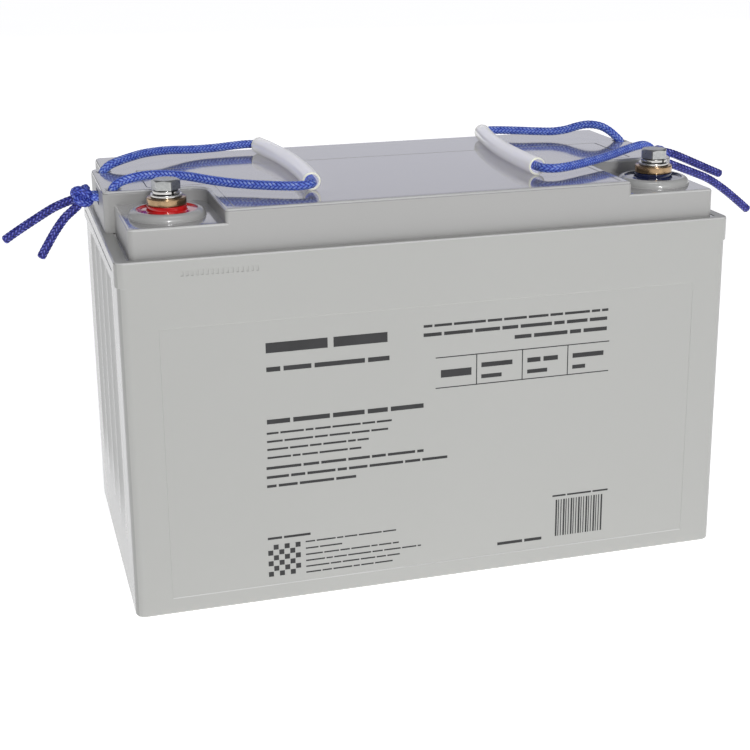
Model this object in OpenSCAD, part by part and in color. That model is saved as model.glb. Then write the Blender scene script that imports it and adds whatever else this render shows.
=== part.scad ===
/* [Container] */
// Overall length, over the end rims
length = 330; // [320:1:340]
// Overall width, over the long rims
width = 173; // [168:1:178]
// Height of the container's rim above the base
rim_z = 190; // [185:1:200]
// Height of the thick rim band
rim_band = 13; // [10:0.5:16]
// Radius of the upright corners
corner_r = 5; // [3:0.5:8]
// Thickness of the long walls
wall = 4; // [3:0.1:4.5]
// Thickness of the walls between the cells
partition = 2; // [1.6:0.1:2.6]
// Number of upright flutes on each end
flutes = 4; // [3:1:5]
// Width of each flute, from crest to crest
flute_w = 29.5; // [26:0.5:30]
// Depth of each flute
flute_depth = 2.4; // [1.5:0.1:2.6]

/* [Lid] */
// Height of the lid's top face above the base
lid_z = 212; // [208:1:218]
// How far the lid block stands in from the rim at the front and back
lid_inset_y = 5; // [4:0.5:7]
// How far the lid block stands in from the rim at the ends
lid_inset_x = 8; // [6.5:0.5:10]
// Depth of the terminal recesses below the top face
recess_depth = 7; // [5:0.5:9]
// Distance from the centre to a recess's inner wall
recess_x = 109; // [104:1:112]
// Place of a recess's back wall
recess_y = -21; // [-24:1:-18]
// Thickness of the vent cover plate
cover_t = 2.5; // [2:0.1:3]
// Gap round the vent cover plate
cover_gap = 0.4; // [0.2:0.05:0.6]

/* [Terminals] */
// Distance of each terminal from the centre, along the battery
terminal_x = 134; // [132:0.5:136]
// Place of the terminals across the battery
terminal_y = -55; // [-57:0.5:-52]
// Radius of the brass terminal where it shows
post_r = 10; // [9:0.5:11]
// Height of the brass terminal's seat above the base
post_z = 215; // [213:0.5:217]
// Width of the bolt's hexagon across its flats
hex_af = 13; // [13:1:13]
// Travel of a bolt from tight to free
bolt_lift = 12.5; // [10:0.5:12.5]

/* [Handles] */
// Diameter of the rope
rope_d = 5; // [4.5:0.1:5.4]
// Distance of the rope holes from the centre, along the battery
hole_x = 156.5; // [156:0.1:157]
// Place of the front rope hole across the battery
hole_front_y = -14; // [-15:1:-13]
// Place of the back rope hole across the battery
hole_back_y = 36; // [35:1:37]
// Outer diameter of the grip tubes
grip_d = 9.6; // [9:0.1:9.8]
// Distance between the two ends of a grip tube
grip_l = 116; // [110:1:118]

/* [Hidden] */
CELLS = 6;
$fn = 64;
eps = 0.01;

// Container: the rim overhangs the walls at the ends only
rim_over_x = 1;
end_wall = 5.5;
floor_t = 4;
flute_foot_z = 40;
groove_half_y = 72;
groove_z = [rim_z - 7, rim_z - 6.2];
groove_d = 0.6;
label_half_x = 145;
label_z = [9, 155];
label_d = 0.3;

// Cells
inner_x = length / 2 - rim_over_x - end_wall;
inner_y = width / 2 - wall;
cell_w = (2 * inner_x - (CELLS - 1) * partition) / CELLS;
cell_pitch = cell_w + partition;
partition_z = 178;
function cell_x(i) = (i - (CELLS + 1) / 2) * cell_pitch;
function odd(i) = i % 2 == 1;

// Plates: each positive plate stands between two separators
positive_plates = 6;
positive_t = 3.6;
negative_t = 2.4;
separator_t = 1;
plate_pitch = positive_t + negative_t + 2 * separator_t;
plate_w = 158;
plate_z = 150;
plate_foot_z = floor_t + 1;
separator_w = 160;
separator_z = 154;
separator_foot_z = floor_t + 0.5;
lug_w = 12;
strap_z = 160;
strap_t = 7;
strap_w = 46;
strap_d = 16;
weld_r = 7;
weld_overlap = 2;
riser_r = 7;
strap_y = -terminal_y;

// Lid
block_x = length / 2 - lid_inset_x;
block_y = width / 2 - lid_inset_y;
block_r = 3;
recess_z = lid_z - recess_depth;
deck_z = lid_z - cover_t - 3;
skirt_z = 180;
skirt_gap = 0.1;
lid_wall = 3;
lid_floor = 2.5;
inner_r = 1;
tab_x = length / 2 - 2.5;
tab_y = [recess_y, 47];
tab_inner_x = 149;
tab_r = 3;
rope_hole_r = 4;
rope_room_z = [199.5, 207.5];
rope_room_x = [152.5, 160.5];
rope_slot_y = [4.5, 17.5];
rope_room_y = [hole_front_y - 4.5, hole_back_y + 4.5];

// Vent cover plate: a broad back part, and a narrower front part between the recesses
cover_back = [139, -16, 34];
cover_front = [104, -78.5];
cover_z = lid_z - cover_t;
peg_r = 2;
peg_l = 4;
fit = 0.03;
pegs = [[96, -70], [-96, -70], [132, 28], [-132, 28]];

// Valves
valve_y = 8;
valve_end_x = 127;
well_r = 9;
well_z = 199;
nozzle_r = 5;
nozzle_bore_r = 2;
nozzle_z = 204.5;
valve_r = 7;
valve_top = 206.4;
valve_roof_z = nozzle_z + 0.02;
function valve_x(i) = i == 1 ? -valve_end_x : i == CELLS ? valve_end_x : cell_x(i);

// Terminals
boss_r = 19.5;
boss_z = recess_z + 4;
pocket_r = 15.5;
pocket_z = recess_z - 0.5;
stem_r = 9;
stem_z = 197;
stem_bore_r = 9.6;
sleeve_r = 14;
sleeve_z = 198;
seal_z = 201.5;
groove_depth = 0.8;
seal_groove_z = [seal_z - 0.9, seal_z + 0.9];
seal_r = (stem_bore_r - stem_r + groove_depth) / 2 - 0.02;
seal_ring_r = (stem_bore_r + stem_r - groove_depth) / 2;
collar_z = 211;
resin_z = 208;
thread_r = 4;
shank_r = 3.95;
shank_l = 16;
bore_l = 17;
head_h = 5.3;
flat_washer = [8, 4.2, 1.6];
spring_washer = [7, 4.15, 2];
split_w = 1.2;
split_angle = -70;
washer_z = post_z + flat_washer[2];
head_z = washer_z + spring_washer[2];

// Handles
rope_r = rope_d / 2;
rope_sides = 10;
grip_bulge = 4;
grip_r = (grip_l * grip_l / 4 + grip_bulge * grip_bulge) / (2 * grip_bulge);
grip_angle = 2 * asin(grip_l / 2 / grip_r);
grip_z = lid_z + grip_d / 2;
grip_wall = 1.2;
leg_top_z = lid_z - rope_r - 0.4;
knot_r = 7;

// Front mouth of each grip tube, and the lean of its chord from the Y axis
left_grip = [-58, -50.5, 2.2];
right_grip = [68, -49, -5];

// Ropes, from the front hole to the back hole, heights above the lid's top
left_front_route = [
    [-156.5, -14, 0], [-153.5, -14, 3], [-148.5, -14.4, 4.9], [-141, -15.8, 6.5], [-133, -18.5, 7.2],
    [-126, -22, 7.2], [-118, -27, 6.8], [-107, -35.5, 5.6], [-95, -44, 4.8], [-82, -52, 4.6],
    [-72, -57, 4.6], [-64.5, -58.6, 4.7], [-59.5, -56, 4.8]
];
left_back_route = [
    [-64, 69.5, 4.8], [-69, 71, 4.8], [-77, 70, 4.6], [-87, 68, 4.3], [-96, 66.5, 4.3], [-105, 64, 4.8],
    [-114, 60, 5.8], [-123, 54.5, 6.6], [-133, 48, 6.8], [-142, 41.8, 6], [-149, 38, 4.7], [-153.5, 36.4, 3],
    [-156.5, 36, 0]
];
right_front_route = [
    [156.5, -14, 0], [153.3, -14, 3.2], [149.8, -14.9, 5.6], [145, -17.4, 6.9], [138.5, -20.6, 6.7],
    [131, -24.8, 6.1], [122, -30.5, 5.4], [113, -36.6, 5], [103, -43, 4.8], [93, -49, 4.7],
    [84, -54, 4.7], [76, -57, 4.8], [70, -55, 4.8]
];
right_back_route = [
    [80, 69.5, 4.8], [85, 71, 4.9], [93, 67, 5.1], [102, 62, 5.1], [111, 58.5, 4.8], [120, 55, 4.8],
    [127.5, 52, 6], [133.5, 49.5, 8], [139.5, 46, 9.4], [145.5, 41.8, 8.8], [149.8, 38.2, 6.4],
    [153.3, 36.2, 3.2], [156.5, 36, 0]
];

// Legs inside the tab, from a hole to the knot; left side, mirrored for the right
front_leg_route = [
    [-156.5, -14, -2.9], [-156.5, -13.8, -5], [-156.5, -11.6, -7.6], [-156.5, -7, -8.5],
    [-156.5, -1, -8.5], [-157, 4, -8.5], [-159.5, 7.6, -8.4], [-163, 8.6, -8.2], [-166, 9.4, -7.8]
];
back_leg_route = [
    [-156.5, 36, -2.9], [-156.5, 35.8, -5], [-156.5, 33.6, -7.6], [-156.5, 29, -8.5],
    [-156.5, 23, -8.5], [-157, 18, -8.5], [-159.5, 14.4, -8.4], [-163, 13.4, -8.2], [-166, 12.6, -7.8]
];

// Knots and cut tails
left_knot_place = [-170.5, 11, -7.6];
right_knot_place = [170.5, 11, -6.4];
left_upper_route = [
    [-174, 14, -9.5], [-180, 15, -11.6], [-187, 15.5, -14.6], [-197, 16, -20.4],
    [-207, 16, -26.4], [-215, 16, -31.6]
];
left_lower_route = [
    [-172.5, 8.5, -11.5], [-176.5, 7.5, -14.6], [-181, 7, -18.4], [-186, 7, -24.8],
    [-191, 7, -32.6], [-196, 7, -41]
];
right_upper_route = [
    [174, 13.5, -3.6], [182, 14, -6], [194, 14, -11.2], [206, 14, -16.6], [216, 14, -21]
];
right_lower_route = [
    [174.5, 9.5, -9.5], [182, 9, -12.6], [192, 9, -16.6], [203, 9, -21.4], [213, 9, -27.8],
    [223, 9, -35.6], [233, 9, -44]
];

// ---- Shared shapes ----

module rounded_rect(x, y, r) {
    square([x - 2 * r, y], center = true);
    square([x, y - 2 * r], center = true);
    for (sx = [-1, 1], sy = [-1, 1])
        translate([sx * (x / 2 - r), sy * (y / 2 - r)])
            circle(r);
}

module box(x, y, z) {
    translate([x[0], y[0], z[0]])
        cube([x[1] - x[0], y[1] - y[0], z[1] - z[0]]);
}

module both_ends() {
    children();
    mirror([1, 0, 0])
        children();
}

module disc(r, z) {
    translate([0, 0, z[0]])
        cylinder(r = r, h = z[1] - z[0]);
}

module ring(r_out, r_in, z) {
    difference() {
        disc(r_out, z);
        disc(r_in, [z[0] - 1, z[1] + 1]);
    }
}

function unit(v) = v / norm(v);
function tangent(p, i) = unit(p[min(i + 1, len(p) - 1)] - p[max(i - 1, 0)]);
function across(v, t) = unit(v - (v * t) * t);
function first_normal(t) = across(abs(t[2]) < 0.9 ? [0, 0, 1] : [1, 0, 0], t);
function normals(p, i) =
    i == 0 ? [first_normal(tangent(p, 0))]
    : let (before = normals(p, i - 1)) concat(before, [across(before[i - 1], tangent(p, i))]);
function rings(p, r, sides) =
    let (n = normals(p, len(p) - 1))
    [for (i = [0:len(p) - 1], k = [0:sides - 1])
        let (t = tangent(p, i), a = 360 * k / sides)
        p[i] + r * (cos(a) * n[i] + sin(a) * cross(t, n[i]))];
function side_faces(count, sides) =
    [for (i = [0:count - 2], k = [0:sides - 1], half = [0, 1])
        let (a = i * sides + k, b = i * sides + (k + 1) % sides)
        half == 0 ? [a, a + sides, b] : [b, a + sides, b + sides]];

module rope(route) {
    path = [for (q = route) [q[0], q[1], lid_z + q[2]]];
    last = (len(path) - 1) * rope_sides;
    color("royalblue")
        polyhedron(
            points = rings(path, rope_r, rope_sides),
            faces = concat(
                [[for (k = [0:rope_sides - 1]) k]],
                side_faces(len(path), rope_sides),
                [[for (k = [rope_sides - 1:-1:0]) last + k]]
            ),
            convexity = 6
        );
}

function mirrored(route) = [for (q = route) [-q[0], q[1], q[2]]];

// ---- Container ----

module end_flutes() {
    r = (flute_w * flute_w / 4 + flute_depth * flute_depth) / (2 * flute_depth);
    for (i = [0:flutes - 1])
        translate([length / 2 - rim_over_x - flute_depth + r, (i - (flutes - 1) / 2) * flute_w, 0])
            disc(r, [flute_foot_z, rim_z - rim_band]);
    box([length / 2 - groove_d, length / 2 + 1], [-groove_half_y, groove_half_y], groove_z);
}

module container() {
    band_z = rim_z - rim_band;
    color("#b9b8b3")
        difference() {
            union() {
                linear_extrude(band_z)
                    rounded_rect(length - 2 * rim_over_x, width, corner_r);
                translate([0, 0, band_z])
                    linear_extrude(rim_band)
                        rounded_rect(length, width, corner_r);
            }
            for (i = [1:CELLS])
                box(
                    [cell_x(i) - cell_w / 2, cell_x(i) + cell_w / 2],
                    [-inner_y, inner_y],
                    [floor_t, rim_z + 1]
                );
            box([-inner_x, inner_x], [-inner_y, inner_y], [partition_z, rim_z + 1]);
            for (i = [1:CELLS - 1])
                translate([cell_x(i) + cell_pitch / 2, (odd(i) ? 1 : -1) * strap_y, strap_z + strap_t])
                    rotate([0, 90, 0])
                        cylinder(r = weld_r + fit, h = 2 * partition, center = true);
            both_ends()
                end_flutes();
            box(
                [-label_half_x, label_half_x],
                [-width, label_d - width / 2],
                label_z
            );
        }
}

// ---- Plates and straps ----

module plate(x, t, lug_y) {
    box([x - t / 2, x + t / 2], [-plate_w / 2, plate_w / 2], [plate_foot_z, plate_z]);
    box([x - t / 2, x + t / 2], [lug_y - lug_w / 2, lug_y + lug_w / 2], [plate_z - eps, strap_z]);
}

module plate_stack(i, positive) {
    count = positive ? positive_plates : positive_plates + 1;
    side = positive == odd(i) ? -1 : 1;
    color(positive ? "#5a3a2a" : "#7d8288")
        for (k = [0:count - 1])
            plate(
                cell_x(i) + (k - (count - 1) / 2) * plate_pitch,
                positive ? positive_t : negative_t,
                side * strap_y
            );
}

module separators(i) {
    color("#f2f1ec")
        for (k = [0:positive_plates - 1], side = [-1, 1]) {
            middle = cell_x(i) + (k - (positive_plates - 1) / 2) * plate_pitch;
            x = middle + side * (positive_t + separator_t) / 2;
            box(
                [x - separator_t / 2, x + separator_t / 2],
                [-separator_w / 2, separator_w / 2],
                [separator_foot_z, separator_z]
            );
        }
}

module strap_bar(x, y) {
    box([x - strap_w / 2, x + strap_w / 2], [y - strap_d / 2, y + strap_d / 2], [strap_z, strap_z + strap_t]);
}

module intercell_strap(i) {
    y = (odd(i) ? 1 : -1) * strap_y;
    middle = cell_x(i) + cell_pitch / 2;
    reach = (cell_pitch - strap_w) / 2 + weld_overlap;
    color("#7b7f84") {
        strap_bar(cell_x(i), y);
        strap_bar(cell_x(i + 1), y);
        translate([middle, y, strap_z + strap_t])
            rotate([0, 90, 0])
                cylinder(r = weld_r, h = 2 * reach, center = true);
    }
}

module end_strap(side) {
    i = side < 0 ? 1 : CELLS;
    color("#7b7f84") {
        strap_bar(cell_x(i), terminal_y);
        translate([side * terminal_x, terminal_y, 0])
            disc(riser_r, [strap_z + strap_t - 1, stem_z]);
    }
}

// ---- Lid ----

module lid_outline() {
    rounded_rect(2 * block_x, 2 * block_y, block_r);
}

module recess(z) {
    box([recess_x, length / 2], [-width / 2, recess_y], z);
}

module tab_solid(z) {
    translate([(tab_inner_x + tab_x) / 2, (tab_y[0] + tab_y[1]) / 2, z])
        linear_extrude(lid_z - z)
            rounded_rect(tab_x - tab_inner_x, tab_y[1] - tab_y[0], tab_r);
}

module tab_room() {
    box(rope_room_x, rope_room_y, rope_room_z);
    box([rope_room_x[1] - 1, tab_x + 1], rope_slot_y, rope_room_z);
    for (y = [hole_front_y, hole_back_y])
        translate([hole_x, y, 0])
            disc(rope_hole_r, [rope_room_z[0] + 1, lid_z + 1]);
}

module cover_outline(gap) {
    half = cover_back[0] - gap;
    translate([-half, cover_back[1] + gap])
        square([2 * half, cover_back[2] - cover_back[1] - 2 * gap]);
    translate([gap - cover_front[0], cover_front[1] + gap])
        square([2 * (cover_front[0] - gap), cover_back[1] - cover_front[1] + 1]);
}

module lid_shell() {
    difference() {
        union() {
            translate([0, 0, skirt_z])
                linear_extrude(rim_z - skirt_z)
                    rounded_rect(2 * (inner_x - skirt_gap), 2 * (inner_y - skirt_gap), inner_r);
            translate([0, 0, rim_z - eps])
                linear_extrude(lid_z - rim_z + eps)
                    lid_outline();
        }
        difference() {
            translate([0, 0, skirt_z - 1])
                linear_extrude(deck_z - skirt_z + 1)
                    rounded_rect(2 * (block_x - lid_wall), 2 * (block_y - lid_wall), inner_r);
            both_ends() {
                box([recess_x - lid_wall, length], [-width, recess_y + lid_wall], [recess_z - lid_wall, lid_z]);
                translate([terminal_x, terminal_y, 0])
                    disc(sleeve_r, [sleeve_z, lid_z]);
                tab_solid(rope_room_z[0] - lid_floor);
            }
            for (i = [1:CELLS])
                translate([valve_x(i), valve_y, 0])
                    disc(well_r + 2, [well_z - lid_floor, lid_z]);
            for (i = [1:CELLS - 1])
                box(
                    [cell_x(i) + (cell_pitch - partition) / 2, cell_x(i) + (cell_pitch + partition) / 2],
                    [-width, width],
                    [partition_z + 0.2, lid_z]
                );
        }
    }
}

module lid() {
    color("#bcbab8")
        difference() {
            union() {
                difference() {
                    union() {
                        lid_shell();
                        both_ends()
                            tab_solid(rim_z);
                    }
                    both_ends()
                        recess([recess_z, lid_z + 1]);
                }
                both_ends()
                    translate([terminal_x, terminal_y, 0])
                        disc(boss_r, [recess_z - 1, boss_z]);
            }
            both_ends() {
                tab_room();
                translate([terminal_x, terminal_y, 0]) {
                    disc(pocket_r, [pocket_z, lid_z]);
                    disc(stem_bore_r, [sleeve_z - 1, lid_z]);
                }
            }
            translate([0, 0, cover_z])
                linear_extrude(cover_t + 1)
                    cover_outline(0);
            for (p = pegs)
                translate([p[0], p[1], 0])
                    disc(peg_r + fit, [deck_z - 1, lid_z]);
            for (i = [1:CELLS])
                translate([valve_x(i), valve_y, 0]) {
                    ring(well_r, nozzle_r, [well_z, nozzle_z + 1]);
                    disc(well_r, [nozzle_z, cover_z + 1]);
                    disc(nozzle_bore_r, [well_z - 4, lid_z]);
                }
        }
}

module vent_cover() {
    color("#c4c2c4") {
        translate([0, 0, cover_z])
            linear_extrude(cover_t)
                cover_outline(cover_gap);
        for (p = pegs)
            translate([p[0], p[1], 0])
                disc(peg_r, [cover_z - peg_l, cover_z + 1]);
    }
}

module vent_valve(i) {
    color("#2b2b2b")
        translate([valve_x(i), valve_y, 0])
            difference() {
                disc(valve_r, [well_z + 1, valve_top]);
                disc(nozzle_r + fit, [well_z, valve_roof_z]);
            }
}

// ---- Terminals ----

module at_terminal(side) {
    translate([side * terminal_x, terminal_y, 0])
        children();
}

module terminal(side) {
    color("#c9a15a")
        at_terminal(side)
            difference() {
                union() {
                    disc(stem_r, [stem_z, collar_z + 1]);
                    disc(post_r, [collar_z, post_z]);
                }
                ring(stem_r + 1, stem_r - groove_depth, seal_groove_z);
                disc(thread_r, [post_z - bore_l, post_z + 1]);
            }
}

module terminal_seal(side) {
    color("#222222")
        at_terminal(side)
            translate([0, 0, seal_z])
                rotate_extrude()
                    translate([seal_ring_r, 0])
                        circle(seal_r, $fn = 24);
}

module resin_ring(side) {
    color(side < 0 ? "#d0141c" : "#141c3c")
        at_terminal(side)
            difference() {
                union() {
                    disc(pocket_r - fit, [pocket_z, resin_z]);
                    disc(post_r, [resin_z - 1, collar_z]);
                }
                disc(stem_r + fit, [pocket_z - 1, collar_z + 1]);
            }
}

module washer(side, size, z) {
    at_terminal(side)
        ring(size[0], size[1], [z, z + size[2]]);
}

module flat_washer(side) {
    color("#d8d8d6")
        washer(side, flat_washer, post_z);
}

module spring_washer(side) {
    color("#b9b9b9")
        difference() {
            washer(side, spring_washer, washer_z);
            at_terminal(side)
                rotate(split_angle)
                    box([0, 2 * spring_washer[0]], [-split_w / 2, split_w / 2], [washer_z - 1, head_z + 1]);
        }
}

module bolt(side) {
    color("#9fa2a5")
        at_terminal(side) {
            translate([0, 0, head_z])
                cylinder(r = hex_af / sqrt(3), h = head_h, $fn = 6);
            disc(shank_r, [head_z - shank_l, head_z + 1]);
        }
}

// ---- Handles ----

function grip_end(grip) =
    [grip[0] - grip_l * sin(grip[2]), grip[1] + grip_l * cos(grip[2])];

// Points along a grip's arc, from its front mouth to its back mouth
function grip_arc(grip, side, steps) =
    [for (k = [0:steps])
        let (
            a = grip_angle * (k / steps - 0.5),
            along = grip_r * sin(a) + grip_l / 2,
            out = grip_r * (cos(a) - cos(grip_angle / 2)),
            lean = grip[2]
        )
        [
            grip[0] - along * sin(lean) - side * out * cos(lean),
            grip[1] + along * cos(lean) - side * out * sin(lean),
            grip_d / 2
        ]];

module grip_tube(grip, side) {
    end = grip_end(grip);
    color("#dcd9ea", 0.6)
        translate([(grip[0] + end[0]) / 2, (grip[1] + end[1]) / 2, grip_z])
            rotate(grip[2] + (side < 0 ? 0 : 180))
                translate([grip_bulge - grip_r, 0, 0])
                    rotate(-grip_angle / 2)
                        rotate_extrude(angle = grip_angle, $fn = 96)
                            translate([grip_r, 0])
                                difference() {
                                    circle(grip_d / 2, $fn = 32);
                                    circle(grip_d / 2 - grip_wall, $fn = 32);
                                }
}

module knot(place) {
    color("royalblue")
        translate([place[0], place[1], lid_z + place[2]])
            sphere(knot_r, $fn = 32);
}

module left_rope_loop() {
    rope(concat(left_front_route, grip_arc(left_grip, -1, 10), left_back_route));
}

module right_rope_loop() {
    rope(concat(right_front_route, grip_arc(right_grip, 1, 10), right_back_route));
}

// ---- Output ----

container();
lid();
vent_cover();
for (i = [1:CELLS]) {
    vent_valve(i);
    plate_stack(i, true);
    plate_stack(i, false);
    separators(i);
}
for (i = [1:CELLS - 1])
    intercell_strap(i);
for (side = [-1, 1]) {
    pole = side < 0 ? "positive" : "negative";
    end_strap(side);
    terminal(side);
    terminal_seal(side);
    resin_ring(side);
    flat_washer(side);
    spring_washer(side);
    bolt(side);
}
grip_tube(left_grip, -1);  // left_grip_tube
grip_tube(right_grip, 1);  // right_grip_tube
left_rope_loop();
right_rope_loop();
rope(front_leg_route);  // left_rope_leg_front
rope(back_leg_route);  // left_rope_leg_back
rope(mirrored(front_leg_route));  // right_rope_leg_front
rope(mirrored(back_leg_route));  // right_rope_leg_back
knot(left_knot_place);  // left_knot
knot(right_knot_place);  // right_knot
rope(left_upper_route);  // left_tail_upper
rope(left_lower_route);  // left_tail_lower
rope(right_upper_route);  // right_tail_upper
rope(right_lower_route);  // right_tail_lower
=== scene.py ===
"""Deep cycle battery: the looks of each piece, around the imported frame. Lengths are in metres."""

import math

import bpy
import numpy as np
from mathutils import Matrix, Vector


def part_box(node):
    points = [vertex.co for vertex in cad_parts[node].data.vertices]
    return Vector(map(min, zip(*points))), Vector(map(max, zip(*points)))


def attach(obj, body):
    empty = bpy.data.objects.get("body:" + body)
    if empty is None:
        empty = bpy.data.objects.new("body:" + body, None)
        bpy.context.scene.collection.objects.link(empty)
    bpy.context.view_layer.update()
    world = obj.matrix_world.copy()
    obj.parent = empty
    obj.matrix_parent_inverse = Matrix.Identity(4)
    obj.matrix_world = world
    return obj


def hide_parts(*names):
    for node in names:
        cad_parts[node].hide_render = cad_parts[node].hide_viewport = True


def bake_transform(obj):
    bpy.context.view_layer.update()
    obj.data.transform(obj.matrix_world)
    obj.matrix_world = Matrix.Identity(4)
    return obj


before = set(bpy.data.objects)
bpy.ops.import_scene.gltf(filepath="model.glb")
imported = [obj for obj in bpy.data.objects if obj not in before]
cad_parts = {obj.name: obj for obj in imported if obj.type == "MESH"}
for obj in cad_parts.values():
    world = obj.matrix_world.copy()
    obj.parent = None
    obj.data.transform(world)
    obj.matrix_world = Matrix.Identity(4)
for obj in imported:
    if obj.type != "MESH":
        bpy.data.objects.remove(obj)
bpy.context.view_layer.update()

MM = 0.001
CELLS = 6
SIDES = ((-1, "positive", "left"), (1, "negative", "right"))


# ---- Camera ----

CAMERA_PLACE = Vector((-0.227, -0.771, 0.365))
CAMERA_YAW = math.radians(15.7)
CAMERA_PITCH = math.radians(16.03)
CAMERA_ROLL = math.radians(-0.55)
SENSOR_MM = 36
LENS_MM = 69.65
VIEW_SHIFT = -0.1


def make_camera():
    data = bpy.data.cameras.new("camera")
    data.sensor_width = SENSOR_MM
    data.lens = LENS_MM
    data.shift_y = VIEW_SHIFT
    data.clip_start = 0.01
    camera = bpy.data.objects.new("camera", data)
    bpy.context.scene.collection.objects.link(camera)
    flat = math.cos(CAMERA_PITCH)
    ahead = Vector((math.sin(CAMERA_YAW) * flat, math.cos(CAMERA_YAW) * flat, -math.sin(CAMERA_PITCH)))
    level = Vector((math.cos(CAMERA_YAW), -math.sin(CAMERA_YAW), 0))
    above = level.cross(ahead)
    right = level * math.cos(CAMERA_ROLL) + above * math.sin(CAMERA_ROLL)
    up = above * math.cos(CAMERA_ROLL) - level * math.sin(CAMERA_ROLL)
    turn = Matrix((right, up, -ahead)).transposed().to_4x4()
    camera.matrix_world = Matrix.Translation(CAMERA_PLACE) @ turn
    bpy.context.scene.camera = camera


# ---- Material helpers ----


def new_material(name):
    material = bpy.data.materials.new(name)
    material.use_nodes = True
    tree = material.node_tree
    return material, tree, tree.nodes["Principled BSDF"]


def node(tree, kind, **inputs):
    made = tree.nodes.new(kind)
    for key, value in inputs.items():
        made.inputs[key.replace("_", " ")].default_value = value
    return made


def noise(tree, scale, detail=3.0, stretch=(1, 1, 1), source=None):
    """A noise texture in the object's own coordinates, or in another output given as source."""
    if source is None:
        source = tree.nodes.new("ShaderNodeTexCoord").outputs["Object"]
    place = tree.nodes.new("ShaderNodeMapping")
    place.inputs["Scale"].default_value = stretch
    texture = node(tree, "ShaderNodeTexNoise", Scale=scale, Detail=detail)
    tree.links.new(source, place.inputs["Vector"])
    tree.links.new(place.outputs["Vector"], texture.inputs["Vector"])
    return texture.outputs["Fac"]


def ramp(tree, value, low, high):
    """Maps a 0 to 1 value to a range of colours, or of numbers when both ends are numbers."""
    if isinstance(low, (int, float)):
        made = tree.nodes.new("ShaderNodeMapRange")
        made.interpolation_type = "SMOOTHSTEP"
        made.inputs["From Min"].default_value = 0.2
        made.inputs["From Max"].default_value = 0.8
        made.inputs["To Min"].default_value = low
        made.inputs["To Max"].default_value = high
        tree.links.new(value, made.inputs["Value"])
        return made.outputs["Result"]
    made = tree.nodes.new("ShaderNodeValToRGB")
    made.color_ramp.interpolation = "EASE"
    made.color_ramp.elements[0].position = 0.2
    made.color_ramp.elements[0].color = (*low, 1)
    made.color_ramp.elements[1].position = 0.8
    made.color_ramp.elements[1].color = (*high, 1)
    tree.links.new(value, made.inputs["Fac"])
    return made.outputs["Color"]


def bump(tree, shader, height, strength, distance):
    made = node(tree, "ShaderNodeBump", Strength=strength, Distance=distance)
    tree.links.new(height, made.inputs["Height"])
    tree.links.new(made.outputs["Normal"], shader.inputs["Normal"])


def surface(name, low, high, rough, patches, wear, relief, settings):
    """A material whose colour, roughness and bump each come from a noise.

    patches, wear and the first item of relief are arguments for noise(), relief ends with its strength and
    distance, and settings are further sockets of the shader.
    """
    material, tree, shader = new_material(name)
    tree.links.new(ramp(tree, noise(tree, *patches), low, high), shader.inputs["Base Color"])
    tree.links.new(ramp(tree, noise(tree, *wear), *rough), shader.inputs["Roughness"])
    bump(tree, shader, noise(tree, *relief[0]), *relief[1:])
    for socket, value in settings.items():
        shader.inputs[socket].default_value = value
    return material


def moulded_plastic(name, low, high, rough, peel, coat=0.0):
    """Moulded ABS: faint flow marks in its colour, patches handled duller, and a soft orange peel."""
    settings = {"IOR": 1.52, "Coat Weight": coat, "Coat Roughness": 0.06}
    return surface(name, low, high, rough, (7, 1, (1, 1, 0.35)), (14, 1), ((30, 0), peel, 0.0004), settings)


def resin(name, low, high):
    settings = {"Coat Weight": 0.6, "Coat Roughness": 0.03}
    return surface(name, low, high, (0.04, 0.11), (160, 4), (420, 3), ((110, 2), 0.1, 0.0005), settings)


def metal(name, low, high, rough, brush, grain=0.08):
    """Metal with fine turning or brushing marks, stretched along one axis."""
    relief = ((1500, 3, brush), grain, 0.0001)
    return surface(name, low, high, rough, (300, 5), (900, 4, brush), relief, {"Metallic": 1.0})


def dull(name, low, high, rough, scale, strength, distance, metallic=0.0):
    """Cast lead, pasted plate, glass mat, rubber or ink: a rough mottled surface."""
    relief = ((scale * 3, 5), strength, distance)
    return surface(name, low, high, rough, (scale, 6), (scale * 2.3, 4), relief, {"Metallic": metallic})


def milky_tube(name, low, high, cover, rough):
    """Cloudy soft plastic. Its faint emission stands for light scattered inside it."""
    settings = {
        "IOR": 1.45, "Coat Weight": 1.0, "Coat Roughness": 0.1, "Sheen Weight": 0.9, "Sheen Roughness": 0.35,
        "Subsurface Weight": 0.6, "Subsurface Radius": (0.006, 0.006, 0.007),
        "Emission Color": (0.97, 0.95, 1, 1), "Emission Strength": 0.22, "Alpha": cover,
    }
    return surface(name, low, high, rough, (60, 3), (140, 3), ((45, 1), 0.04, 0.0004), settings)


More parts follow.
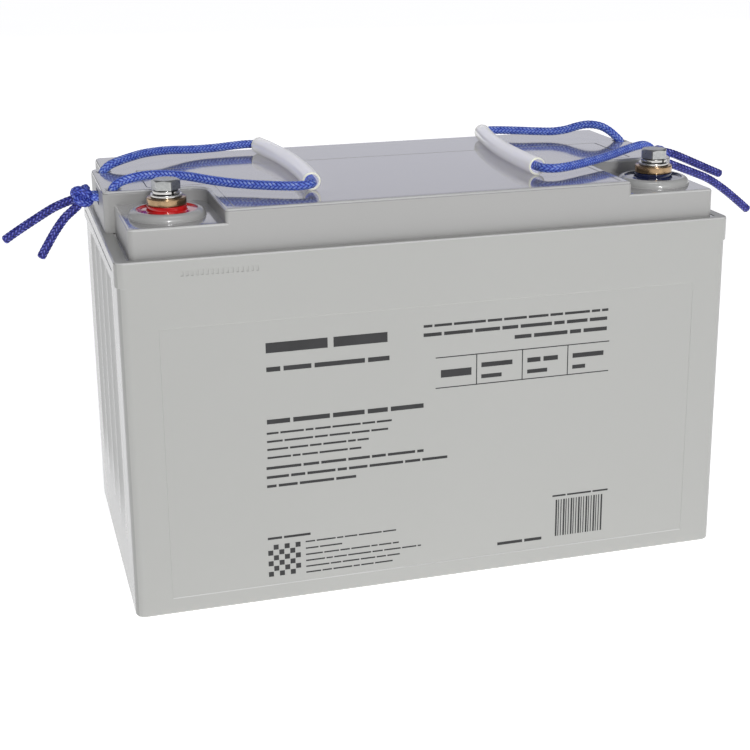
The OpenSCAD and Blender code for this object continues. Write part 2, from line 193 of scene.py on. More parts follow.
def braided_fibre(name, dark, light, crown_highlight):
    """Braided yarn: each strand's own tone and its fibres come from the mesh's strand coordinates. Its colour
    also paints shade in the grooves between strands and a highlight on each strand's crown.
    """
    material, tree, shader = new_material(name)
    strands = tree.nodes.new("ShaderNodeUVMap")
    strands.uv_map = "strands"
    tone = tree.nodes.new("ShaderNodeAttribute")
    tone.attribute_name = "raised"
    fibre = noise(tree, 9, 3, source=strands.outputs["UV"], stretch=(1, 14, 1))
    # Painted shade in the grooves between strands (the darkest step) and a painted highlight on the crowns
    # (the lightest step)
    shade = tree.nodes.new("ShaderNodeValToRGB")
    steps = shade.color_ramp.elements
    steps[0].position, steps[0].color = 0.25, tuple(0.12 * c for c in dark) + (1,)
    steps[1].position, steps[1].color = 0.9, (*crown_highlight, 1)
    for position, colour in ((0.42, dark), (0.68, light)):
        steps.new(position).color = (*colour, 1)
    tree.links.new(tone.outputs["Fac"], shade.inputs["Fac"])
    worn = tree.nodes.new("ShaderNodeMix")
    worn.data_type = "RGBA"
    worn.blend_type = "MULTIPLY"
    worn.inputs["Factor"].default_value = 1.0
    tree.links.new(shade.outputs["Color"], worn.inputs["A"])
    tree.links.new(ramp(tree, fibre, (0.7, 0.7, 0.75), (1, 1, 1)), worn.inputs["B"])
    tree.links.new(worn.outputs["Result"], shader.inputs["Base Color"])
    tree.links.new(ramp(tree, fibre, 0.36, 0.56), shader.inputs["Roughness"])
    bump(tree, shader, fibre, 0.35, 0.0002)
    shader.inputs["Sheen Weight"].default_value = 0.15
    shader.inputs["Sheen Roughness"].default_value = 0.4
    return material


# Colours are linear
CONTAINER = moulded_plastic(
    "container_plastic", (0.435, 0.437, 0.42), (0.452, 0.454, 0.437), (0.3, 0.35), 0.03,
)
# Painted shade: a darker, glossier copy of the container plastic for the end faces
CONTAINER_END_SHADED = moulded_plastic(
    "container_end_painted_shade", (0.36, 0.362, 0.348), (0.376, 0.378, 0.364), (0.22, 0.27), 0.02, 0.22,
)
LID = moulded_plastic("lid_plastic", (0.34, 0.335, 0.335), (0.355, 0.35, 0.352), (0.11, 0.15), 0.02, 1.0)
LID_SIDE = moulded_plastic(
    "lid_side_plastic", (0.4, 0.398, 0.39), (0.416, 0.414, 0.406), (0.36, 0.42), 0.03,
)
# Painted highlight: a lighter, glossier copy of the plastic for upturned rounded edges and the flute crests
EDGE_HIGHLIGHT_PAINT = moulded_plastic(
    "painted_edge_highlight", (0.66, 0.66, 0.65), (0.7, 0.7, 0.69), (0.12, 0.18), 0.02, 0.5,
)
COVER = moulded_plastic(
    "vent_cover_plastic", (0.355, 0.348, 0.362), (0.367, 0.36, 0.374), (0.1, 0.14), 0.02, 1.0,
)
# Painted light: lid plastic in a lighter colour, so that the terminal boss looks lit
LIT_BOSS_PLASTIC = moulded_plastic("boss_painted_light", (0.5, 0.5, 0.49), (0.53, 0.53, 0.52), (0.2, 0.26), 0.02, 0.4)
RED = resin("red_resin", (0.55, 0.004, 0.006), (0.78, 0.012, 0.012))
NAVY = resin("dark_blue_resin", (0.004, 0.007, 0.04), (0.01, 0.02, 0.09))
TURNED, DRAWN = (1, 1, 0.1), (1, 1, 3)
BRASS = metal("terminal_brass", (0.37, 0.25, 0.14), (0.48, 0.33, 0.19), (0.18, 0.26), TURNED, 0.04)
BRIGHT = metal("washer_steel", (0.55, 0.54, 0.52), (0.7, 0.69, 0.67), (0.12, 0.24), TURNED)
ZINC = metal("bolt_steel", (0.36, 0.37, 0.37), (0.5, 0.51, 0.5), (0.24, 0.4), DRAWN, 0.15)
ROPE = braided_fibre("blue_rope", (0.035, 0.07, 0.62), (0.19, 0.33, 1.0), (0.5, 0.62, 1.0))
# Painted shade: a darker copy of the rope colours for the cut tails
SHADED_ROPE_END = braided_fibre("blue_rope_ends_painted_shade", (0.008, 0.009, 0.15), (0.03, 0.036, 0.4), (0.3, 0.32, 0.86))
# Painted shade: a darker copy of the rope colours for the stopper knot
SHADED_KNOT = braided_fibre("blue_knot_painted_shade", (0.016, 0.028, 0.32), (0.07, 0.12, 0.72), (0.3, 0.4, 0.95))
FRAYED = braided_fibre("cut_fibre", (0.03, 0.06, 0.42), (0.12, 0.2, 0.8), (0.4, 0.5, 0.98))
TUBE = milky_tube("clear_tube", (0.96, 0.96, 1.0), (1.0, 1.0, 1.0), 0.76, (0.12, 0.18))
TUBE_RIM = milky_tube("tube_rim", (0.86, 0.87, 0.62), (0.94, 0.94, 0.75), 0.95, (0.3, 0.45))
INK = dull("print_ink", (0.014, 0.014, 0.015), (0.024, 0.024, 0.026), (0.4, 0.5), 90, 0.05, 0.00005)
RUBBER = dull("black_rubber", (0.012, 0.012, 0.012), (0.03, 0.03, 0.03), (0.6, 0.75), 200, 0.2, 0.0002)
LEAD = dull("cast_lead", (0.2, 0.21, 0.23), (0.34, 0.35, 0.38), (0.4, 0.6), 120, 0.4, 0.0005, 0.8)
POSITIVE_PASTE = dull(
    "positive_plate", (0.05, 0.022, 0.012), (0.11, 0.05, 0.028), (0.8, 0.95), 260, 0.6, 0.0005,
)
NEGATIVE_PASTE = dull(
    "negative_plate", (0.16, 0.17, 0.185), (0.27, 0.285, 0.3), (0.7, 0.9), 260, 0.6, 0.0005,
)
GLASS_MAT = dull("glass_mat", (0.72, 0.71, 0.68), (0.88, 0.87, 0.84), (0.85, 0.98), 700, 0.7, 0.0004)


# ---- Mesh helpers ----


def piece(name, points, faces, material, body, slot=None, sharp=35.0):
    """A new mesh piece that rides on a body, smooth except where it folds by more than sharp degrees."""
    mesh = bpy.data.meshes.new(name)
    mesh.from_pydata([tuple(p) for p in points], [], [tuple(f) for f in faces])
    mesh.validate()
    obj = bpy.data.objects.new(name, mesh)
    bpy.context.scene.collection.objects.link(obj)
    mesh.materials.append(material)
    mesh.shade_smooth()
    mesh.set_sharp_from_angle(angle=math.radians(sharp))
    if body:
        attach(obj, body)
    return obj


def even_shading(obj):
    """Keeps large flat faces flat beside their rounded edges."""
    shading = obj.modifiers.new("even_shading", "WEIGHTED_NORMAL")
    shading.weight = 100
    shading.keep_sharp = True


def skin(levels, around, closed=False):
    """Faces between rings of points numbered ring by ring. closed joins the last ring to the first."""
    faces = []
    for level in range(levels if closed else levels - 1):
        a, b = level * around, (level + 1) % levels * around
        for k in range(around):
            n = (k + 1) % around
            faces.append((a + k, a + n, b + n, b + k))
    return faces


def caps(levels, around):
    last = (levels - 1) * around
    return [tuple(reversed(range(around))), tuple(last + k for k in range(around))]


def loft(rings):
    """Points and faces of a closed solid through rings of equal length, with its two ends capped."""
    count = len(rings[0])
    first, last = caps(len(rings), count)
    return [p for ring in rings for p in ring], [first] + skin(len(rings), count) + [last]


def lathe(profile, centre, steps=72, closed=True):
    """A ring turned round a vertical axis at centre, from the (radius, height) pairs of its section."""
    points, faces = [], []
    count = len(profile)
    for s in range(steps):
        a = 2 * math.pi * s / steps
        points += [(centre[0] + r * math.cos(a), centre[1] + r * math.sin(a), z) for r, z in profile]
    for s in range(steps):
        a, b = s * count, (s + 1) % steps * count
        for k in range(count if closed else count - 1):
            n = (k + 1) % count
            faces.append((a + k, b + k, b + n, a + n))
    return points, faces


def arc(centre, radius, start, end, steps):
    """(x, y) points along an arc, with its angles in degrees."""
    made = []
    for k in range(steps + 1):
        a = math.radians(start + (end - start) * k / steps)
        made.append((centre[0] + radius * math.cos(a), centre[1] + radius * math.sin(a)))
    return made


def outline(corners, inset=0.0, steps=6):
    """Points round a right-angled outline, anticlockwise, moved in by inset. A corner is (x, y, radius)."""
    made = []
    for i, (x, y, radius) in enumerate(corners):
        corner = Vector((x, y))
        before = (corner - Vector(corners[i - 1][:2])).normalized()
        after = (Vector(corners[(i + 1) % len(corners)][:2]) - corner).normalized()
        inward = Vector((-before.y, before.x)), Vector((-after.y, after.x))
        convex = 1 if before.x * after.y - before.y * after.x > 0 else -1
        centre = corner + convex * radius * (inward[0] + inward[1])
        start = math.degrees(math.atan2(-convex * inward[0].y, -convex * inward[0].x))
        made += arc(centre, radius - convex * inset, start, start + 90 * convex, steps)
    return made


def rectangle(x, y, radius):
    """Corners of a rounded rectangle, from its ranges in x and y."""
    return [(x[0], y[0], radius), (x[1], y[0], radius), (x[1], y[1], radius), (x[0], y[1], radius)]


def rounded_box(half_x, half_y, radius):
    return rectangle((-half_x, half_x), (-half_y, half_y), radius)


def mirrored(right):
    """A whole outline from the corners of its right half."""
    return right + [(-x, y, r) for x, y, r in reversed(right)]


def at_height(ring, z):
    return [(x, y, z) for x, y in ring]


def filleted(corners, low, high, fillet, foot=0.0, steps=5):
    """A prism on an outline, with its top edge rounded by fillet, and its bottom edge by foot."""
    angles = [math.pi / 2 * k / steps for k in range(steps + 1)]
    quarter = [(1 - math.sin(a), 1 - math.cos(a)) for a in angles]
    rings = [at_height(outline(corners, foot * s), low + foot * c) for s, c in quarter]
    if not foot:
        rings = [at_height(outline(corners), low)]
    rings += [at_height(outline(corners, fillet * c), high - fillet * s) for s, c in quarter]
    return loft(rings)


def joined(*solids):
    points, faces = [], []
    for p, f in solids:
        start = len(points)
        points += list(p)
        faces += [tuple(start + i for i in face) for face in f]
    return points, faces


def carve(obj, solids, operation="DIFFERENCE"):
    """Cuts solids from obj, or joins them to it, exactly, one after another."""
    for points, faces in solids:
        mesh = bpy.data.meshes.new("tool")
        mesh.from_pydata([tuple(p) for p in points], [], [tuple(f) for f in faces])
        tool = bpy.data.objects.new("tool", mesh)
        bpy.context.scene.collection.objects.link(tool)
        cut = obj.modifiers.new("cut", "BOOLEAN")
        cut.operation = operation
        cut.solver = "EXACT"
        cut.object = tool
        bpy.context.view_layer.update()
        result = bpy.data.meshes.new_from_object(obj.evaluated_get(bpy.context.evaluated_depsgraph_get()))
        obj.modifiers.clear()
        old = obj.data
        obj.data = result
        bpy.data.meshes.remove(old)
        bpy.data.objects.remove(tool)
        bpy.data.meshes.remove(mesh)


def block(x, y, z):
    return loft([[(x[0], y[0], h), (x[1], y[0], h), (x[1], y[1], h), (x[0], y[1], h)] for h in z])


def rod(centre, radius, z, steps=48, low_radius=None):
    """An upright cylinder, or a cone if low_radius is given."""
    low = radius if low_radius is None else low_radius
    angles = [2 * math.pi * k / steps for k in range(steps)]
    rings = []
    for r, h in ((low, z[0]), (radius, z[1])):
        rings.append([(centre[0] + r * math.cos(a), centre[1] + r * math.sin(a), h) for a in angles])
    return loft(rings)


def paint_edge_highlights(obj):
    """Paints a highlight on the rounded upper edges: faces tilted upwards take a lighter, glossier copy of
    the plastic.
    """
    obj.data.materials.append(EDGE_HIGHLIGHT_PAINT)
    edge = len(obj.data.materials) - 1
    for polygon in obj.data.polygons:
        if 0.45 < polygon.normal.z < 0.93:
            polygon.material_index = edge


def resharpen(obj, sharp=35.0):
    obj.data.shade_smooth()
    obj.data.set_sharp_from_angle(angle=math.radians(sharp))


# ---- Sizes, as in the CAD ----

RIM_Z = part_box("container")[1].z
HALF_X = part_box("container")[1].x
HALF_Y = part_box("container")[1].y
LID_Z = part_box("lid")[1].z
BAND = 13 * MM
RIM_OVER = 1 * MM
WALL_X = HALF_X - RIM_OVER
INNER_X = 158.5 * MM
INNER_Y = 82.5 * MM
PARTITION = 2 * MM
CELL_W = (2 * INNER_X - (CELLS - 1) * PARTITION) / CELLS
CELL_PITCH = CELL_W + PARTITION
BLOCK_X = 157 * MM
BLOCK_Y = 81.5 * MM
TAB_X = 162.5 * MM
TAB_Y = (-21 * MM, 47 * MM)
RECESS_X = 109 * MM
RECESS_Z = 205 * MM
DECK_Z = 206.5 * MM
COVER_Z = 209.5 * MM
TERMINAL_X = 134 * MM
TERMINAL_Y = -55 * MM
POST_Z = 215 * MM
HOLE_X = 156.5 * MM
HOLE_Y = (-14 * MM, 36 * MM)
VALVE_Y = 8 * MM
ROPE_D = 5 * MM
GRIP_D = 9.6 * MM
GRIP_L = 116 * MM
GRIP_BULGE = 4 * MM


def cell_x(i):
    return (i - (CELLS + 1) / 2) * CELL_PITCH


def valve_x(i):
    if i in (1, CELLS):
        return -127 * MM if i == 1 else 127 * MM
    return cell_x(i)


def smooth(value):
    t = min(max(value, 0.0), 1.0)
    return t * t * (3 - 2 * t)


# ---- Container ----

FLUTES = 4
FLUTE_W = 29.5 * MM
FLUTE_DEPTH = 2.4 * MM
FLUTES_HALF = FLUTES * FLUTE_W / 2
FLUTE_FADE = (26 * MM, 62 * MM)
ARCH_R = 14 * MM
CREST_SOFT = 0.3 * MM
GROOVE_HALF_Y = 72 * MM
LABEL_X = 145 * MM
LABEL_Z = (9 * MM, 155 * MM)
LABEL_D = 0.3 * MM
CORNER_R = 5 * MM
# Holes in the cell walls for the welded straps
WELD_Z = 167 * MM
WELD_HOLE_R = 7.1 * MM
# A row of plain moulded ticks on the band
TICKS = 16
TICK_X = -133 * MM
TICK_PITCH = 2.5 * MM
TICK_W = 1.3 * MM
TICK_D = 0.3 * MM
TICK_Z = (181.2 * MM, 184 * MM)


def flute_depth(y, z):
    """How far in from the crests an end face lies: a row of flutes that run out towards the foot."""
    if abs(y) >= FLUTES_HALF:
        return 0.0
    along = (y + FLUTES_HALF) / FLUTE_W % 1.0
    hollow = FLUTE_DEPTH * (1 - (2 * along - 1) ** 2)
    depth = math.hypot(hollow, CREST_SOFT) - CREST_SOFT
    depth *= smooth((z - FLUTE_FADE[0]) / (FLUTE_FADE[1] - FLUTE_FADE[0]))
    corner_y = FLUTES_HALF - ARCH_R
    corner_z = RIM_Z - BAND - ARCH_R
    if abs(y) > corner_y and z > corner_z:
        inside = ARCH_R - math.hypot(abs(y) - corner_y, z - corner_z)
        depth = min(depth, max(0.6 * inside, 0.0))
    return depth


def end_places():
    """Places along an end face, with some close to each crest so that it has a narrow face of its own."""
    flat_y = HALF_Y - CORNER_R
    places = [-flat_y + 2 * flat_y * k / 120 for k in range(1, 120)]
    crests = [(k - FLUTES / 2) * FLUTE_W for k in range(FLUTES + 1)]
    places = [y for y in places if min(abs(y - c) for c in crests) > 0.9 * MM]
    for c in crests:
        places += [c - 0.45 * MM, c, c + 0.45 * MM]
    return sorted(places)


def container_ring(z, grow, inset):
    """One level of the container's outside. grow moves the end walls out, and inset moves all inwards."""
    half_x = WALL_X + grow
    flat_x, flat_y, radius = half_x - CORNER_R, HALF_Y - CORNER_R, CORNER_R - inset
    front_xs = [-LABEL_X - 0.2 * MM, -LABEL_X + 0.2 * MM, 0.0, LABEL_X - 0.2 * MM, LABEL_X + 0.2 * MM]
    on_label = LABEL_Z[0] <= z <= LABEL_Z[1]
    in_groove = RIM_Z - 7 * MM < z < RIM_Z - 6.2 * MM

    def end_face(side, y):
        depth = flute_depth(y, z) * (1 - min(grow / RIM_OVER, 1.0))
        if in_groove and abs(y) < GROOVE_HALF_Y:
            depth = 0.6 * MM
        return side * (half_x - inset - depth)

    ring = arc((-flat_x, -flat_y), radius, 180, 270, 8)
    for x in front_xs:
        cut = LABEL_D if on_label and abs(x) < LABEL_X else 0.0
        ring.append((x, -HALF_Y + inset + cut))
    ring += arc((flat_x, -flat_y), radius, 270, 360, 8)
    ring += [(end_face(1, y), y) for y in end_places()]
    ring += arc((flat_x, flat_y), radius, 0, 90, 8)
    ring += [(x, HALF_Y - inset) for x in (LABEL_X, 0.0, -LABEL_X)]
    ring += arc((-flat_x, flat_y), radius, 90, 180, 8)
    ring += [(end_face(-1, y), y) for y in reversed(end_places())]
    return at_height(ring, z)


def container_levels():
    """(height, grow, inset) of each level, from the foot to the rim's top edge."""
    foot_r, top_r, band_z = 1.5 * MM, 1.1 * MM, RIM_Z - BAND
    levels = []
    for k in range(5):
        a = math.pi / 2 * k / 4
        levels.append((foot_r * (1 - math.cos(a)), 0.0, foot_r * (1 - math.sin(a))))
    levels += [(z, 0.0, 0.0) for z in (LABEL_Z[0] - 0.2 * MM, LABEL_Z[0] + 0.2 * MM, 18 * MM)]
    fade_steps = 18
    for k in range(fade_steps + 1):
        levels.append((FLUTE_FADE[0] + (FLUTE_FADE[1] - FLUTE_FADE[0]) * k / fade_steps, 0.0, 0.0))
    levels += [(z, 0.0, 0.0) for z in (90 * MM, 120 * MM, 148 * MM)]
    levels += [(LABEL_Z[1] - 0.2 * MM, 0.0, 0.0), (LABEL_Z[1] + 0.2 * MM, 0.0, 0.0)]
    arch_z = band_z - ARCH_R
    levels += [(arch_z + (ARCH_R - 0.5 * MM) * k / 14, 0.0, 0.0) for k in range(15)]
    for grown, rise in ((0.0, -0.05), (0.45, 0.0), (0.8, 0.15), (1.0, 0.55)):
        levels.append((band_z + rise * MM, grown * RIM_OVER, 0.0))
    for z in (-7.1, -6.95, -6.25, -6.1):
        levels.append((RIM_Z + z * MM, RIM_OVER, 0.0))
    for k in range(6):
        a = math.pi / 2 * k / 5
        levels.append((RIM_Z - top_r * (1 - math.sin(a)), RIM_OVER, top_r * (1 - math.cos(a))))
    return levels


def shade_ends_and_light_crests(obj):
    """Gives the end faces a glossier finish and painted shade, a darker copy of the plastic, and paints a
    highlight on the crests between the flutes.
    """
    highlight_index = len(obj.data.materials) - 1
    obj.data.materials.append(CONTAINER_END_SHADED)
    for polygon in obj.data.polygons:
        x, y, z = polygon.center
        # Painted shade: the end faces take the darker copy of the plastic
        if abs(polygon.normal.x) > 0.75 and abs(x) > WALL_X - 5 * MM:
            polygon.material_index = highlight_index + 1
        from_crest = abs((y + FLUTES_HALF + FLUTE_W / 2) % FLUTE_W - FLUTE_W / 2)
        on_flutes = abs(x) > WALL_X - 3 * MM and abs(y) < FLUTES_HALF + 1 * MM and 40 * MM < z < RIM_Z - BAND
        # Painted highlight along each crest between the flutes
        if from_crest < 0.5 * MM and on_flutes:
            polygon.material_index = highlight_index


def make_container():
    rings = [container_ring(*level) for level in container_levels()]
    points, faces = loft(rings)
    obj = piece("container_shell", points, faces, CONTAINER, None, None, 30)
    cavities = []
    for i in range(1, CELLS + 1):
        x = (cell_x(i) - CELL_W / 2, cell_x(i) + CELL_W / 2)
        cavities.append(block(x, (-INNER_Y, INNER_Y), (4 * MM, 181 * MM)))
    cavities.append(filleted(rounded_box(INNER_X, INNER_Y, 1 * MM), 178 * MM, RIM_Z + 5 * MM, 0.5 * MM))
    for i in range(1, CELLS):
        side = 1 if i % 2 else -1
        middle = cell_x(i) + CELL_PITCH / 2
        ring = arc((side * -TERMINAL_Y, WELD_Z), WELD_HOLE_R, 0, 360, 32)[:-1]
        cavities.append(loft([[(x, y, z) for y, z in ring] for x in (middle - 2 * MM, middle + 2 * MM)]))
    for k in range(TICKS):
        x = TICK_X + TICK_PITCH * k
        cavities.append(block((x, x + TICK_W), (-HALF_Y - 1 * MM, -HALF_Y + TICK_D), TICK_Z))
    carve(obj, cavities)
    resharpen(obj, 30)
    paint_edge_highlights(obj)
    shade_ends_and_light_crests(obj)
    even_shading(obj)
    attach(obj, "battery")
    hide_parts("container")


# ---- Lid and vent cover ----

RECESS_CORNER_R = 9 * MM
COVER_BACK = (139 * MM, -16 * MM, 34 * MM)
COVER_FRONT = (104 * MM, -78.5 * MM)
COVER_GAP = 0.4 * MM
ROPE_ROOM_X = (152.5 * MM, 160.5 * MM)
ROPE_ROOM_Z = (199.5 * MM, 207.5 * MM)
ROPE_SLOT_Y = (4.5 * MM, 17.5 * MM)
BOSS_R = 19.5 * MM
POCKET_R = 15.5 * MM
BOSS_Z = 209 * MM
WELL_R = 9 * MM
NOZZLE_R = 5 * MM
PEG_R = 2 * MM
PEGS = [(side * x * MM, y * MM) for side in (-1, 1) for x, y in ((96, -70), (132, 28))]
# Two ring marks in the vent cover, at each side
MARK_PLACE = (92 * MM, -62 * MM)
MARK_RADII = (5 * MM, 2.2 * MM)
MARK_D = 0.15 * MM
MARK_W = 0.35 * MM


def deck_corners():
    """The lid's upper outline: the recesses at the front corners are left out, and the tabs stand out."""
    right = [
        (RECESS_X, -BLOCK_Y, 2.2 * MM), (RECESS_X, TAB_Y[0], RECESS_CORNER_R), (TAB_X, TAB_Y[0], 3 * MM),
        (TAB_X, TAB_Y[1], 3 * MM), (BLOCK_X, TAB_Y[1], 1 * MM), (BLOCK_X, BLOCK_Y, 3 * MM),
    ]
    return mirrored(right)


def cover_corners(gap):
    back_x, back_y0, back_y1 = COVER_BACK[0] - gap, COVER_BACK[1] + gap, COVER_BACK[2] - gap
    front_x, front_y = COVER_FRONT[0] - gap / 3, COVER_FRONT[1] + gap / 3
    r = 1.5 * MM
    corners = ((front_x, front_y), (front_x, back_y0), (back_x, back_y0), (back_x, back_y1))
    return mirrored([(x, y, r) for x, y in corners])


def make_lid():
    top = filleted(deck_corners(), RIM_Z - 0.01 * MM, LID_Z, 1.9 * MM, 0.0, 6)
    obj = piece("lid_moulding", *top, LID, None, None, 30)
    inside = rounded_box(INNER_X - 0.1 * MM, INNER_Y - 0.1 * MM, 1 * MM)
    skirt = filleted(inside, 180 * MM, RIM_Z - 0.25 * MM, 0.2 * MM)
    neck = filleted(rounded_box(BLOCK_X, BLOCK_Y, 3 * MM), 185 * MM, RIM_Z + 2 * MM, 0.01 * MM)
    corner_blocks = []
    for side, _, _ in SIDES:
        x = sorted((side * (RECESS_X - 10 * MM), side * BLOCK_X))
        corners = rectangle(x, (-BLOCK_Y, TAB_Y[0] + 12 * MM), 3 * MM)
        corner_blocks.append(filleted(corners, RIM_Z - 0.02 * MM, RECESS_Z, 1.4 * MM))
    carve(obj, [neck, skirt] + corner_blocks, "UNION")
    cuts = []
    for i in range(1, CELLS + 1):
        x = (cell_x(i) - CELL_W / 2 + 1 * MM, cell_x(i) + CELL_W / 2 - 1 * MM)
        front = -78.5 * MM if i not in (1, CELLS) else -16 * MM
        x = (max(x[0], -147 * MM), min(x[1], 147 * MM))
        cuts.append(block(x, (front, 0.0), (179 * MM, 195 * MM if i in (1, CELLS) else DECK_Z)))
        cuts.append(block(x, (20 * MM, 78.5 * MM), (179 * MM, DECK_Z)))
    cuts.append(filleted(cover_corners(0.0), COVER_Z, LID_Z + 5 * MM, 0.1 * MM))
    for side, _, _ in SIDES:
        centre = (side * TERMINAL_X, TERMINAL_Y)
        cuts.append(rod(centre, 9.6 * MM, (178 * MM, 215 * MM)))
        cuts.append(rod(centre, POCKET_R, (204.5 * MM, 215 * MM), 72))
        x = sorted((side * ROPE_ROOM_X[0], side * ROPE_ROOM_X[1]))
        cuts.append(block(x, (HOLE_Y[0] - 4.5 * MM, HOLE_Y[1] + 4.5 * MM), ROPE_ROOM_Z))
        x = sorted((side * (ROPE_ROOM_X[1] - 1 * MM), side * (TAB_X + 2 * MM)))
        cuts.append(block(x, ROPE_SLOT_Y, ROPE_ROOM_Z))
        for y in HOLE_Y:
            cuts.append(rod((side * HOLE_X, y), 4 * MM, (200.5 * MM, 214 * MM)))
            cuts.append(rod((side * HOLE_X, y), 5 * MM, (LID_Z - 0.7 * MM, LID_Z + 0.3 * MM), 48, 4 * MM))
    for i in range(1, CELLS + 1):
        cuts.append(rod((valve_x(i), VALVE_Y), WELL_R, (199 * MM, COVER_Z + 1 * MM), 40))
    cuts += [rod(place, PEG_R + 0.05 * MM, (205 * MM, LID_Z), 24) for place in PEGS]
    carve(obj, cuts)
    resharpen(obj, 30)
    obj.data.materials.append(LID_SIDE)
    for polygon in obj.data.polygons:
        if abs(polygon.normal.z) < 0.35:
            polygon.material_index = 1
    paint_edge_highlights(obj)
    even_shading(obj)
    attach(obj, "battery")
    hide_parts("lid")


def make_bosses():
    """The raised ring round each terminal, and the nozzle under each valve, on the lid."""
    lip, foot = 3.6 * MM, 0.3 * MM
    profile = [(POCKET_R, 204.6 * MM)]
    profile += arc((POCKET_R + foot, BOSS_Z - foot), foot, 180, 90, 4)
    profile += arc((BOSS_R - lip, BOSS_Z - lip), lip, 90, 0, 12)
    profile += arc((BOSS_R + foot, RECESS_Z + foot), foot, 180, 270, 4)
    profile += [(BOSS_R + foot, 204.6 * MM)]
    for side, pole, _ in SIDES:
        ring = lathe(profile, (side * TERMINAL_X, TERMINAL_Y), 96)
        # The boss takes the lighter lid plastic, which is painted light
        obj = piece(pole + "_boss", *ring, LIT_BOSS_PLASTIC, "battery", "lid_plastic", 40)
        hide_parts("lid")
    nozzle = [(2 * MM, 196 * MM), (2 * MM, 204.5 * MM), (NOZZLE_R - 0.5 * MM, 204.5 * MM)]
    nozzle += [(NOZZLE_R, 204 * MM), (NOZZLE_R, 196 * MM)]
    solids = [lathe(nozzle, (valve_x(i), VALVE_Y), 32) for i in range(1, CELLS + 1)]
    obj = piece("valve_nozzles", *joined(*solids), LID, "battery", "lid_plastic")
    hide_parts("lid")


def make_vent_cover():
    plate = filleted(cover_corners(COVER_GAP), COVER_Z + 0.02 * MM, LID_Z, 0.45 * MM)
    pegs = [rod(place, PEG_R, (205.6 * MM, COVER_Z + 0.5 * MM), 24) for place in PEGS]
    obj = piece("vent_cover_plate", *joined(plate, *pegs), COVER, "battery", "vent_cover_plastic", 30)
    marks = []
    for side in (-1, 1):
        for r in MARK_RADII:
            section = [(r, LID_Z - MARK_D), (r + MARK_W, LID_Z + MARK_D), (r - MARK_W, LID_Z + MARK_D)]
            marks.append(lathe(section, (side * MARK_PLACE[0], MARK_PLACE[1]), 48))
    carve(obj, marks)
    resharpen(obj, 30)
    even_shading(obj)
    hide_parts("vent_cover")


# ---- Terminal hardware ----

HEX_AF = 13 * MM
FLAT_WASHER = (8 * MM, 4.2 * MM, 1.6 * MM)
SPRING_WASHER = (7 * MM, 4.15 * MM, 2 * MM)
SPLIT_ANGLE = -70
WASHER_Z = POST_Z + FLAT_WASHER[2]
HEAD_Z = WASHER_Z + SPRING_WASHER[2]
HEAD_H = 5.3 * MM
SHANK_R = 3.95 * MM
SHANK_L = 16 * MM
PITCH = 1.25 * MM
HEAD_TURN = {"positive": 12, "negative": 30}


def hex_head(centre, turn):
    """A bolt head: a hexagon whose top corners are cut by a cone, with a washer face under it."""
    steps, apothem = 96, HEX_AF / 2
    flat_r = apothem * 0.93
    slope = math.tan(math.radians(28))
    rings = [[], [], [], [], [], []]
    for k in range(steps):
        a = 2 * math.pi * k / steps
        corner = (a + math.pi / 6) % (math.pi / 3) - math.pi / 6
        hexagon = min(apothem / math.cos(corner), apothem / math.cos(math.pi / 6) * 0.985)
        edge = HEAD_H - (hexagon - flat_r) * slope
        sections = (
            (flat_r, 0.0), (apothem * 0.97, 0.12 * MM), (hexagon, 0.35 * MM), (hexagon, edge),
            (flat_r, HEAD_H), (flat_r * 0.9, HEAD_H - 0.06 * MM),
        )
        for ring, (r, h) in zip(rings, sections):
            ring.append((centre[0] + r * math.cos(a + turn), centre[1] + r * math.sin(a + turn), HEAD_Z + h))
    return loft(rings)


def threaded_shank(centre):
    """The bolt's shank, with a helical thread round its lower part."""
    around, step = 40, 0.125 * MM
    rings = []
    levels = int(SHANK_L / step)
    for level in range(levels + 1):
        h = level * step
        ring = []
        for k in range(around):
            phase = (h / PITCH - k / around) % 1.0
            depth = 0.62 * MM * abs(2 * phase - 1) * smooth(h / (1 * MM))
            point = max(0.0, 1 - h / (1.2 * MM)) * 0.9 * MM
            plain = smooth((h - SHANK_L + 2 * MM) / (1 * MM))
            r = SHANK_R - depth * (1 - plain) - point
            a = 2 * math.pi * k / around
            ring.append((centre[0] + r * math.cos(a), centre[1] + r * math.sin(a), HEAD_Z - SHANK_L + h))
        rings.append(ring)
    return loft(rings)


def ring_section(r_out, r_in, z, height, soft):
    """A washer's section, with its four edges rounded."""
    section = arc((r_out - soft, z + soft), soft, -90, 0, 3)
    section += arc((r_out - soft, z + height - soft), soft, 0, 90, 3)
    section += arc((r_in + soft, z + height - soft), soft, 90, 180, 3)
    section += arc((r_in + soft, z + soft), soft, 180, 270, 3)
    return section


def split_washer(centre):
    """A spring washer: a coil of almost one turn, whose two ends stand a little apart."""
    r_out, r_in, height = SPRING_WASHER
    rise, gap, steps = 0.32 * MM, 11.0, 88
    rings = []
    for k in range(steps + 1):
        a = math.radians(SPLIT_ANGLE + gap / 2 + (360 - gap) * k / steps)
        z = WASHER_Z + rise * k / steps
        section = ring_section(r_out, r_in, z, height - rise, 0.28 * MM)
        rings.append([(centre[0] + r * math.cos(a), centre[1] + r * math.sin(a), h) for r, h in section])
    return loft(rings)


